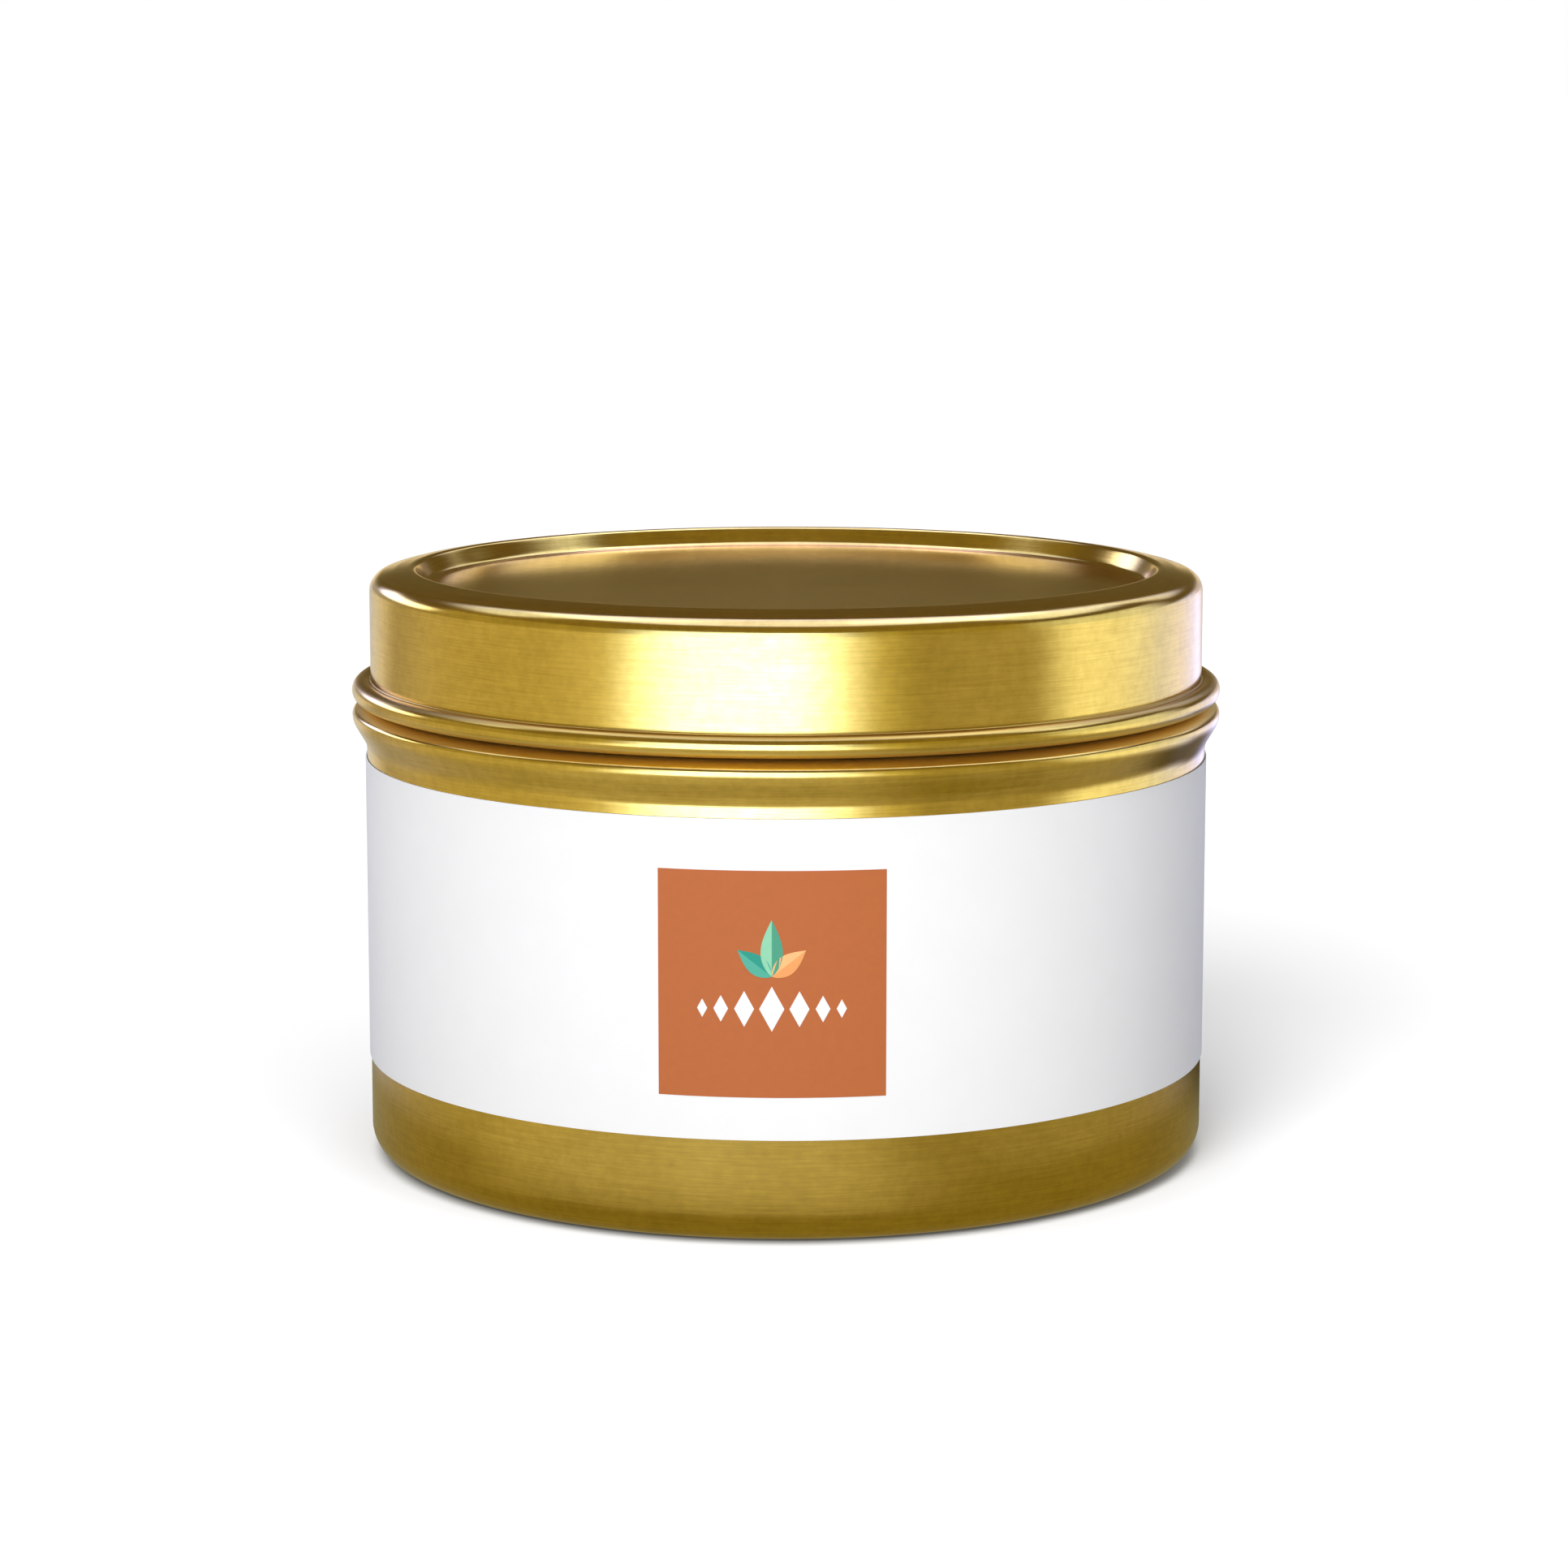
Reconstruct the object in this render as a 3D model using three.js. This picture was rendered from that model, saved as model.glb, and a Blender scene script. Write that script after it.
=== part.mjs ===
// Slip-lid candle tin, about 80 mm across and 54 mm tall: a drawn tinplate can with a pressed lid,
// a paper wrap label and a base label, and a poured wax candle with its wick, tab and glue pad.
// Units are millimetres, +Z is up, and the origin is the centre of the ring the tin stands on.
// Almost every piece is turned, so it is drawn as a profile of (radius, height) points.

import * as THREE from 'three';

// Turning
const ROUND_SEGMENTS = 40;       // facets round the can, the lid, the wax and the labels
const SMALL_SEGMENTS = 20;       // facets round the wick, its tab and its glue pad

// Sheet metal
const SHEET = 0.25;              // tinplate thickness
const HALF_SHEET = SHEET / 2;

// Can
const WALL_RADIUS = 38.75;       // outside of the straight wall
const BASE_CORNER = 2.6;         // outside radius between the base and the wall
const STAND_RING_INNER = 33.0;   // inner edge of the flat ring that the tin stands on
const BASE_PANEL_LIFT = 0.8;     // height of the base panel's underside
const BASE_STEP_RUN = 0.8;       // width of the slope from the panel down to the ring
const BEAD_OUTER = 40.04;        // bead below the lid, the widest place of the can
const BEAD_HEIGHT = 41.0;
const BEAD_ABOVE = 0.375;        // radii of the bead's section, along the middle of the sheet,
const BEAD_BELOW = 1.725;        // above and below its widest place
const BEAD_TURN = 62;            // how far the part above turns in before the straight flank, degrees
const TAPER_ANGLE = 30.5;        // slope of the taper under the bead, degrees from upright
const TAPER_FILLET = 2.1;
const LEDGE_HEIGHT = 42.05;      // upper face of the ledge inside the flank
const NECK_FILLET = 0.3;
const RIM_OUTER = 37.98;         // rolled rim, which the lid slips over
const RIM_SECTION = 0.6;         // radius of the roll along the middle of the sheet
const RIM_CENTRE_HEIGHT = 50.5;
const RIM_ROLL_END = -95;        // the roll stops short of the neck, so it stays open

// Lid
const LID_WALL_RADIUS = 38.35;   // outside of the skirt
const LID_TOP = 54.29;
const LID_SHOULDER = 1.45;       // radii along the middle of the sheet: the shoulder,
const LID_CROWN = 13.8;          // the crowned crest,
const LID_CREST_ROUND = 0.3;     // the inner edge of the crest
const LID_PANEL_FILLET = 0.825;  // and the foot of the slope down to the panel
const LID_CREST_RADIUS = 34.5;   // from the axis to the highest, level ring of the crest
const LID_CREST_LEVEL = 0.2;     // width of that ring
const LID_CREST_TILT = 5.8;      // outward slope at which the crown starts, in degrees
const LID_SLOPE_ANGLE = 60;      // steepness of the slope from the crest down to the panel
const LID_PANEL_TOP = 52.59;     // upper face of the recessed panel
const LID_CURL_OUTER = 40.05;    // rolled lower edge
const LID_CURL_HEIGHT = 43.19;
const LID_CURL_SECTION = 0.875;  // radius of the roll along the middle of the sheet
const LID_FLARE = 0.3;           // hollow fillet between the skirt and the roll
const LID_CURL_END = -200;       // the roll stops short of the skirt, so it stays open

// Labels
const PAPER = 0.1;
const STUCK_GAP = 0.05;          // room left between a stuck piece and what it is stuck to
const WRAP_LOW = 9.25;
const WRAP_HIGH = 37.0;
const BASE_LABEL_RADIUS = 28.0;

// Candle
const POUR_GAP = 0.1;            // room left between the wax and what it is poured against
const WAX_LEVEL = 37.0;
const MENISCUS_RISE = 0.6;
const MENISCUS_RUN = 1.6;
const WICK_RADIUS = 1.2;
const WICK_TRIM = 6.0;           // length of wick above the wax
const WICK_TIP_ROUND = 0.5;
const TAB_RADIUS = 10.0;
const TAB_SHEET = 0.3;
const TAB_NECK_BORE = 1.3;
const TAB_NECK_HEIGHT = 5.0;
const PAD_RADIUS = 9.0;
const PAD_THICKNESS = 0.8;

const goldTin = { color: 0xb8962e, roughness: 0.34, metalness: 1.0 };
const whitePaper = { color: 0xf4f4f2, roughness: 0.75, metalness: 0.0 };
const creamWax = { color: 0xf3ead6, roughness: 0.6, metalness: 0.0 };
const wickCotton = { color: 0xe9e2d0, roughness: 0.95, metalness: 0.0 };
const tabSteel = { color: 0xb5b8bb, roughness: 0.4, metalness: 1.0 };
const padFoam = { color: 0xf0efe9, roughness: 0.9, metalness: 0.0 };

// One point of a profile.
function at(radius, height) {
  return new THREE.Vector2(radius, height);
}

// A point on a circle of a profile. The angle is in degrees, from the outward direction upwards.
function onCircle(radius, height, section, degrees) {
  const angle = THREE.MathUtils.degToRad(degrees);
  return at(radius + section * Math.cos(angle), height + section * Math.sin(angle));
}

// Points along an arc of a profile, from one angle to another.
function arc(radius, height, section, from, to, steps) {
  const points = [];
  for (let i = 0; i <= steps; i++) {
    points.push(onCircle(radius, height, section, from + ((to - from) * i) / steps));
  }
  return points;
}

// Closed outline of a sheet of the given thickness, from the line along the middle of the sheet.
function sheetOutline(middle, thickness) {
  const upper = [];
  const lower = [];
  middle.forEach((point, i) => {
    const before = point.clone().sub(middle[i - 1] ?? point).normalize();
    const after = (middle[i + 1] ?? point).clone().sub(point).normalize();
    const along = before.clone().add(after).normalize();
    const stretch = Math.max(Math.abs(along.dot(after)), Math.abs(along.dot(before)));
    const across = at(-along.y, along.x).multiplyScalar(thickness / 2 / stretch);
    upper.push(point.clone().add(across));
    lower.push(point.clone().sub(across));
  });
  return [...lower, ...upper.reverse()];
}

// Turns a profile round the Z axis. A profile that doesn't meet the axis is closed on itself.
function turned(outline, segments) {
  const first = outline[0];
  const last = outline[outline.length - 1];
  const onAxis = Math.abs(first.x) < 1e-9 && Math.abs(last.x) < 1e-9;
  const profile = onAxis ? outline : [...outline, first.clone()];
  return new THREE.LatheGeometry(profile, segments).rotateX(Math.PI / 2);
}

// A flat-sided ring, or a disc when its inner radius is 0.
function ringProfile(inner, outer, low, high) {
  return [at(inner, low), at(outer, low), at(outer, high), at(inner, high)];
}

// Middle line of the can's sheet, from the centre of the base up to the rolled rim.
function canMiddle() {
  const cornerCentre = WALL_RADIUS - BASE_CORNER;
  const wall = WALL_RADIUS - HALF_SHEET;
  const panel = BASE_PANEL_LIFT + HALF_SHEET;
  const beadUpper = BEAD_OUTER - HALF_SHEET - BEAD_ABOVE;
  const beadLower = BEAD_OUTER - HALF_SHEET - BEAD_BELOW;
  const taper = THREE.MathUtils.degToRad(TAPER_ANGLE);
  const beadFoot = onCircle(beadLower, BEAD_HEIGHT, BEAD_BELOW, -TAPER_ANGLE);
  const taperOut = TAPER_FILLET * (1 - Math.cos(taper));
  const taperRise = (beadFoot.x - wall - taperOut) / Math.tan(taper);
  const taperStart = beadFoot.y - taperRise - TAPER_FILLET * Math.sin(taper);
  const flankFoot = onCircle(beadUpper, BEAD_HEIGHT, BEAD_ABOVE, BEAD_TURN);
  const ledge = LEDGE_HEIGHT - HALF_SHEET;
  const flankRun = (ledge - flankFoot.y) * Math.tan(THREE.MathUtils.degToRad(BEAD_TURN));
  const neck = RIM_OUTER - HALF_SHEET - 2 * RIM_SECTION;
  return [
    at(0, panel),
    at(STAND_RING_INNER - BASE_STEP_RUN, panel),
    at(STAND_RING_INNER, HALF_SHEET),
    ...arc(cornerCentre, BASE_CORNER, BASE_CORNER - HALF_SHEET, -90, 0, 3),
    ...arc(wall + TAPER_FILLET, taperStart, TAPER_FILLET, 180, 180 - TAPER_ANGLE, 2),
    ...arc(beadLower, BEAD_HEIGHT, BEAD_BELOW, -TAPER_ANGLE, 0, 3),
    ...arc(beadUpper, BEAD_HEIGHT, BEAD_ABOVE, 0, BEAD_TURN, 3).slice(1),
    at(flankFoot.x - flankRun, ledge),
    at(neck + NECK_FILLET, ledge),
    at(neck, ledge + NECK_FILLET),
    ...arc(neck + RIM_SECTION, RIM_CENTRE_HEIGHT, RIM_SECTION, 180, RIM_ROLL_END, 7),
  ];
}

// Middle line of the lid's sheet, from the centre of the panel out to the rolled lower edge.
function lidMiddle() {
  const skirt = LID_WALL_RADIUS - HALF_SHEET;
  const panel = LID_PANEL_TOP - HALF_SHEET;
  const slope = THREE.MathUtils.degToRad(LID_SLOPE_ANGLE);
  const crest = LID_TOP - HALF_SHEET;
  const crestInner = LID_CREST_RADIUS - LID_CREST_LEVEL / 2;
  const crestOuter = LID_CREST_RADIUS + LID_CREST_LEVEL / 2;
  const roundHeight = crest - LID_CREST_ROUND;
  const slopeTop = onCircle(crestInner, roundHeight, LID_CREST_ROUND, 90 + LID_SLOPE_ANGLE);
  const slopeFoot = panel + LID_PANEL_FILLET * (1 - Math.cos(slope));
  const slopeRun = (slopeTop.y - slopeFoot) / Math.tan(slope);
  const filletCentre = slopeTop.x - slopeRun - LID_PANEL_FILLET * Math.sin(slope);
  const crownCentre = onCircle(crestOuter, crest, -LID_CROWN, 90 - LID_CREST_TILT);
  const shoulderCentre = skirt - LID_SHOULDER;
  const shoulderReach = LID_CROWN - LID_SHOULDER;
  const shoulderTilt = Math.asin((shoulderCentre - crownCentre.x) / shoulderReach);
  const shoulderHeight = crownCentre.y + shoulderReach * Math.cos(shoulderTilt);
  const shoulderStart = 90 - THREE.MathUtils.radToDeg(shoulderTilt);
  const curlCentre = LID_CURL_OUTER - HALF_SHEET - LID_CURL_SECTION;
  const flareOffset = curlCentre - (skirt + LID_FLARE);
  const flareReach = LID_FLARE + LID_CURL_SECTION;
  const flareHeight = LID_CURL_HEIGHT + Math.sqrt(flareReach ** 2 - flareOffset ** 2);
  const flareAngle = THREE.MathUtils.radToDeg(Math.asin(flareOffset / flareReach));
  return [
    at(0, panel),
    ...arc(filletCentre, panel + LID_PANEL_FILLET, LID_PANEL_FILLET, -90, LID_SLOPE_ANGLE - 90, 3),
    ...arc(crestInner, roundHeight, LID_CREST_ROUND, 90 + LID_SLOPE_ANGLE, 90, 2),
    ...arc(crownCentre.x, crownCentre.y, LID_CROWN, 90 - LID_CREST_TILT, shoulderStart, 2),
    ...arc(shoulderCentre, shoulderHeight, LID_SHOULDER, shoulderStart, 0, 3).slice(1),
    ...arc(skirt + LID_FLARE, flareHeight, LID_FLARE, 180, 270 + flareAngle, 3),
    ...arc(curlCentre, LID_CURL_HEIGHT, LID_CURL_SECTION, 90 + flareAngle, LID_CURL_END, 7).slice(1),
  ];
}

function wrapLabelProfile() {
  const inner = WALL_RADIUS + STUCK_GAP;
  return ringProfile(inner, inner + PAPER, WRAP_LOW, WRAP_HIGH);
}

function baseLabelProfile() {
  const high = BASE_PANEL_LIFT - STUCK_GAP;
  return ringProfile(0, BASE_LABEL_RADIUS, high - PAPER, high);
}

// Heights of the stack that stands on the inside of the base panel.
const PANEL_INSIDE = BASE_PANEL_LIFT + SHEET;
const PAD_LOW = PANEL_INSIDE + STUCK_GAP;
const PAD_HIGH = PAD_LOW + PAD_THICKNESS;
const TAB_LOW = PAD_HIGH + STUCK_GAP;
const TAB_HIGH = TAB_LOW + TAB_SHEET;
const TAB_NECK_TOP = TAB_LOW + TAB_NECK_HEIGHT;
const TAB_NECK_RADIUS = TAB_NECK_BORE + TAB_SHEET;

// The wax stands against the can outside, and round the pad, the tab and the wick inside.
function waxProfile() {
  const wall = WALL_RADIUS - SHEET - POUR_GAP;
  const cornerCentre = WALL_RADIUS - BASE_CORNER;
  const floor = PANEL_INSIDE + POUR_GAP;
  const ringFloor = SHEET + POUR_GAP;
  const bore = WICK_RADIUS + POUR_GAP;
  const stepShift = SHEET / 2;
  return [
    at(PAD_RADIUS + POUR_GAP, floor),
    at(STAND_RING_INNER - BASE_STEP_RUN + stepShift, floor),
    at(STAND_RING_INNER + stepShift, ringFloor),
    ...arc(cornerCentre, BASE_CORNER, BASE_CORNER - SHEET - POUR_GAP, -90, 0, 3),
    at(wall, WAX_LEVEL + MENISCUS_RISE),
    at(wall - MENISCUS_RUN / 2, WAX_LEVEL + MENISCUS_RISE / 4),
    at(wall - MENISCUS_RUN, WAX_LEVEL),
    at(bore, WAX_LEVEL),
    at(bore, TAB_NECK_TOP + POUR_GAP),
    at(TAB_NECK_RADIUS + POUR_GAP, TAB_NECK_TOP + POUR_GAP),
    at(TAB_NECK_RADIUS + POUR_GAP, TAB_HIGH + POUR_GAP),
    at(TAB_RADIUS + POUR_GAP, TAB_HIGH + POUR_GAP),
    at(TAB_RADIUS + POUR_GAP, TAB_LOW - STUCK_GAP),
    at(PAD_RADIUS + POUR_GAP, TAB_LOW - STUCK_GAP),
  ];
}

function wickProfile() {
  const tip = WAX_LEVEL + WICK_TRIM;
  return [
    at(0, TAB_LOW),
    at(WICK_RADIUS, TAB_LOW),
    at(WICK_RADIUS, tip - WICK_TIP_ROUND),
    at(WICK_RADIUS - WICK_TIP_ROUND, tip),
    at(0, tip),
  ];
}

// A stamped disc with an upright neck that grips the wick.
function wickTabProfile() {
  return [
    at(TAB_NECK_BORE, TAB_LOW),
    at(TAB_RADIUS, TAB_LOW),
    at(TAB_RADIUS, TAB_HIGH),
    at(TAB_NECK_RADIUS, TAB_HIGH),
    at(TAB_NECK_RADIUS, TAB_NECK_TOP),
    at(TAB_NECK_BORE, TAB_NECK_TOP),
  ];
}

function piece(name, profile, segments, finish) {
  const mesh = new THREE.Mesh(turned(profile, segments), new THREE.MeshStandardMaterial(finish));
  mesh.name = name;
  return mesh;
}

const candleTin = new THREE.Group();
candleTin.add(
  piece('tin_body', sheetOutline(canMiddle(), SHEET), ROUND_SEGMENTS, goldTin),
  piece('lid', sheetOutline(lidMiddle(), SHEET), ROUND_SEGMENTS, goldTin),
  piece('wrap_label', wrapLabelProfile(), ROUND_SEGMENTS, whitePaper),
  piece('base_label', baseLabelProfile(), ROUND_SEGMENTS, whitePaper),
  piece('wax_fill', waxProfile(), ROUND_SEGMENTS, creamWax),
  piece('wick', wickProfile(), SMALL_SEGMENTS, wickCotton),
  piece('wick_tab', wickTabProfile(), SMALL_SEGMENTS, tabSteel),
  piece('wick_pad', ringProfile(0, PAD_RADIUS, PAD_LOW, PAD_HIGH), SMALL_SEGMENTS, padFoam),
);

export default candleTin;
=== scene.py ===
import math

import bmesh
import bpy
import numpy as np
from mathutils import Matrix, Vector


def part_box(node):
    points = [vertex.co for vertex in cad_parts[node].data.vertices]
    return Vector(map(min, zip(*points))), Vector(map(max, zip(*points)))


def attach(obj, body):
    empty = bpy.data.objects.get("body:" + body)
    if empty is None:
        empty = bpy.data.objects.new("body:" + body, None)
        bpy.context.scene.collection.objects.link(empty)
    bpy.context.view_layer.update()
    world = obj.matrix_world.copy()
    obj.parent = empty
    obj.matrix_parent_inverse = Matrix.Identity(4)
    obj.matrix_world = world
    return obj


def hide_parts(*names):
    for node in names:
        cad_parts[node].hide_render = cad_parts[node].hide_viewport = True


# A gold slip-lid candle tin. Profiles are in millimetres, as (radius, height) points turned round
# the Z axis, and meshes are in metres.

MM = 0.001
DEGREES = 180 / math.pi          # in a radian
ROUND_STEPS = 288                # facets round the can, the lid and the wax
ARC_STEP = 8.0                   # degrees between points on a profile's arcs

# The sheet metal, as in the CAD profiles
SHEET = 0.25
HALF_SHEET = SHEET / 2
HOLD = 0.2                       # from the end of a straight stretch to the point that keeps it flat
WALL_RADIUS = 38.75
BASE_CORNER = 2.6
STAND_RING_INNER = 33.0
BASE_PANEL_LIFT = 0.8
BASE_STEP_RUN = 0.8
BASE_STEP_FILLET = 0.5
BASE_STEP_SHIFT = 0.2            # from the ring's inner edge out to the centre of the lower fillet
BEAD_OUTER = 40.04
BEAD_HEIGHT = 41.0
BEAD_ABOVE = 0.375
BEAD_BELOW = 1.725
BEAD_TURN = 62
TAPER_ANGLE = 30.5
TAPER_FILLET = 2.1
LEDGE_HEIGHT = 42.05
LEDGE_CORNER = 0.3
NECK_FILLET = 0.3
RIM_OUTER = 37.98
RIM_SECTION = 0.6
RIM_CENTRE_HEIGHT = 50.5
RIM_ROLL_END = -95
LID_WALL_RADIUS = 38.35
LID_SHOULDER = 1.45
LID_CROWN = 13.8
LID_CREST_ROUND = 0.3
LID_PANEL_FILLET = 0.825
LID_CREST_RADIUS = 34.5
LID_CREST_LEVEL = 0.2
LID_CREST_TILT = 5.8
LID_SLOPE_ANGLE = 60
LID_PANEL_DEPTH = 1.7
LID_CURL_OUTER = 40.05
LID_CURL_HEIGHT = 43.19
LID_CURL_SECTION = 0.875
LID_FLARE = 0.3
LID_CURL_END = -200

# The paper
PAPER = 0.1
LABEL_OVERLAP = 6.0              # how far the wrap label laps over its own start, at the back
LAP_RISE = 3.0                   # run in which the upper end climbs onto the lower one
LAP_GAP = 0.02
LABEL_STEPS = 360
INK_LIFT = 0.02
INK_GAP = 0.002                  # between the ink's underside and the paper
INK_CUT = 0.6                    # widest stretch of ink between bends round the wall
PRINT_SIDE = 19.6
PRINT_OFFSET = -1.2              # the print sits a little left of the front
PRINT_LOW = 13.0
FRIEZE_HEIGHT = 20.7
FRIEZE = [(0.0, 3.9), (2.35, 3.1), (4.35, 2.3), (5.95, 1.6)]  # lozenges, as (offset, height)
LOZENGE_WIDTH = 0.55             # as a share of its height
SPRIG_FOOT = (PRINT_OFFSET, 23.5)
LEAF_STEPS = 16

# Ink colours; each leaf has its length, width, lean and the tones of its two halves
ORANGE = (0.5, 0.15, 0.049)
WHITE = (0.92, 0.9, 0.87)
LEAVES = [
    ("left", 3.7, 1.7, -52, (0.04, 0.33, 0.23), (0.10, 0.44, 0.31)),
    ("middle", 4.9, 1.9, 0, (0.09, 0.36, 0.22), (0.30, 0.66, 0.42)),
    ("right", 3.7, 1.7, 52, (0.88, 0.38, 0.13), (0.98, 0.52, 0.22)),
]

# The candle
MENISCUS_RISE = 0.6
MENISCUS_RUN = 2.2
POUR_GAP = 0.04
WAX_RINGS = (0, 1.6, 3, 6, 10, 14, 18, 22, 26, 30, 33, 35)  # radii of the top's rings of points
WAX_CREEP_STEPS = 8
WAX_WAVE = 0.05                  # heights of the cooled top's waves,
WAX_SINK = 0.35                  # of its dip round the wick
WAX_CLIMB = 0.22                 # and of the wax drawn up the wick
SINK_REACH = 5.0
CLIMB_REACH = 1.9
WICK_STRANDS = 8
WICK_TWIST = 5.2                 # height in which a strand goes once round the wick
STRAND_STEPS_PER_TURN = 24
STRAND_SIDES = 8
STRAND_SHARE = 0.36              # a strand's radius, as a share of the wick's
WEAVE_SHARE = 0.32               # how far a strand goes over and under, as a share of its radius
TAB_SHEET = 0.3
TAB_BORE = 1.3
TAB_FILLET = 0.5
SMALL_STEPS = 96                 # facets round the tab and its pad

# Gold lacquer: its range of tone and of roughness, and how fine the brushing is, round the axis
# and across the streaks
GOLD_DARK = (0.67, 0.405, 0.037)
GOLD_LIGHT = (0.92, 0.575, 0.063)
GOLD_ROUGHNESS = (0.17, 0.12)
STREAKS_AROUND = 7.0
STREAKS_ACROSS = 6500.0

# Duller zones of the lacquer, as (from, to) in height in metres, tone and added roughness: where
# the lid and the can rub on each other, and in the crease between the lid's wall and its curl,
# whose darker tone is painted shade
RUBBED = (0.79, 0.52, 0.07)
# Painted shade: the crease where the lid's wall meets its curl is given a darker tone
CREASE_SHADE = (0.52, 0.3, 0.022)
CAN_ZONES = [((0.04145, 0.04225), RUBBED, 0.27)]
LID_ZONES = [((0.0420, 0.04275), RUBBED, 0.27), ((0.04385, 0.04425), CREASE_SHADE, 0.16)]
ZONE_EDGE = 0.0001

# The camera, at the height and distance of the photograph's view
CAMERA_PLACE = (0.0, -0.3977, 0.0980)
CAMERA_DOWN = 9.1785             # degrees below level
CAMERA_TURN = 0.026              # degrees to the left
CAMERA_LENS = 99.36
CAMERA_SENSOR = 36.0


# ---------------------------------------------------------------- profiles

def on_circle(radius, height, section, degrees):
    """A point on a circle of a profile; the angle runs from the outward direction upwards."""
    angle = math.radians(degrees)
    return (radius + section * math.cos(angle), height + section * math.sin(angle))


def arc(radius, height, section, start, end):
    """Points along an arc of a profile, about its centre at a radius and a height."""
    steps = max(2, math.ceil(abs(end - start) / ARC_STEP))
    return [
        on_circle(radius, height, section, start + (end - start) * i / steps)
        for i in range(steps + 1)
    ]


def sheet_outline(middle, thickness):
    """Outline of a sheet, from the line along its middle."""
    line = np.array(middle)
    along = np.diff(line, axis=0)
    along /= np.linalg.norm(along, axis=1)[:, None]
    before = np.vstack([along[:1], along])
    after = np.vstack([along, along[-1:]])
    mean = before + after
    mean /= np.linalg.norm(mean, axis=1)[:, None]
    stretch = (mean * after).sum(1)[:, None]
    across = np.column_stack([-mean[:, 1], mean[:, 0]]) * thickness / 2 / stretch
    return np.vstack([line - across, (line + across)[::-1]])


def held(line):
    """The same line with points near the ends of its long straight stretches, to keep them flat."""
    points = [line[0]]
    for start, end in zip(line, line[1:]):
        run = math.dist(start, end)
        if run > 3 * HOLD:
            for share in (HOLD / run, 1 - HOLD / run):
                points.append(tuple(a + (b - a) * share for a, b in zip(start, end)))
        points.append(end)
    return points


def can_middle():
    """Middle of the can's sheet, from the centre of the base to the rolled rim."""
    corner = WALL_RADIUS - BASE_CORNER
    wall = WALL_RADIUS - HALF_SHEET
    panel = BASE_PANEL_LIFT + HALF_SHEET
    step_low = HALF_SHEET + BASE_STEP_FILLET
    step_start = STAND_RING_INNER - BASE_STEP_RUN
    upper = BEAD_OUTER - HALF_SHEET - BEAD_ABOVE
    lower = BEAD_OUTER - HALF_SHEET - BEAD_BELOW
    taper = math.radians(TAPER_ANGLE)
    foot = on_circle(lower, BEAD_HEIGHT, BEAD_BELOW, -TAPER_ANGLE)
    taper_out = TAPER_FILLET * (1 - math.cos(taper))
    taper_rise = (foot[0] - wall - taper_out) / math.tan(taper)
    taper_start = foot[1] - taper_rise - TAPER_FILLET * math.sin(taper)
    flank = on_circle(upper, BEAD_HEIGHT, BEAD_ABOVE, BEAD_TURN)
    ledge = LEDGE_HEIGHT - HALF_SHEET
    ledge_edge = flank[0] - (ledge - flank[1]) * math.tan(math.radians(BEAD_TURN))
    ledge_round = ledge_edge - LEDGE_CORNER * math.tan(math.radians(45 - BEAD_TURN / 2))
    neck = RIM_OUTER - HALF_SHEET - 2 * RIM_SECTION
    return held([
        (0, panel),
        *arc(step_start, panel - BASE_STEP_FILLET, BASE_STEP_FILLET, 90, 45),
        *arc(STAND_RING_INNER + BASE_STEP_SHIFT, step_low, BASE_STEP_FILLET, 225, 270),
        *arc(corner, BASE_CORNER, BASE_CORNER - HALF_SHEET, -90, 0),
        *arc(wall + TAPER_FILLET, taper_start, TAPER_FILLET, 180, 180 - TAPER_ANGLE),
        *arc(lower, BEAD_HEIGHT, BEAD_BELOW, -TAPER_ANGLE, 0),
        *arc(upper, BEAD_HEIGHT, BEAD_ABOVE, 0, BEAD_TURN)[1:],
        *arc(ledge_round, ledge - LEDGE_CORNER, LEDGE_CORNER, BEAD_TURN, 90),
        *arc(neck + NECK_FILLET, ledge + NECK_FILLET, NECK_FILLET, 270, 180),
        *arc(neck + RIM_SECTION, RIM_CENTRE_HEIGHT, RIM_SECTION, 180, RIM_ROLL_END),
    ])


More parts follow.
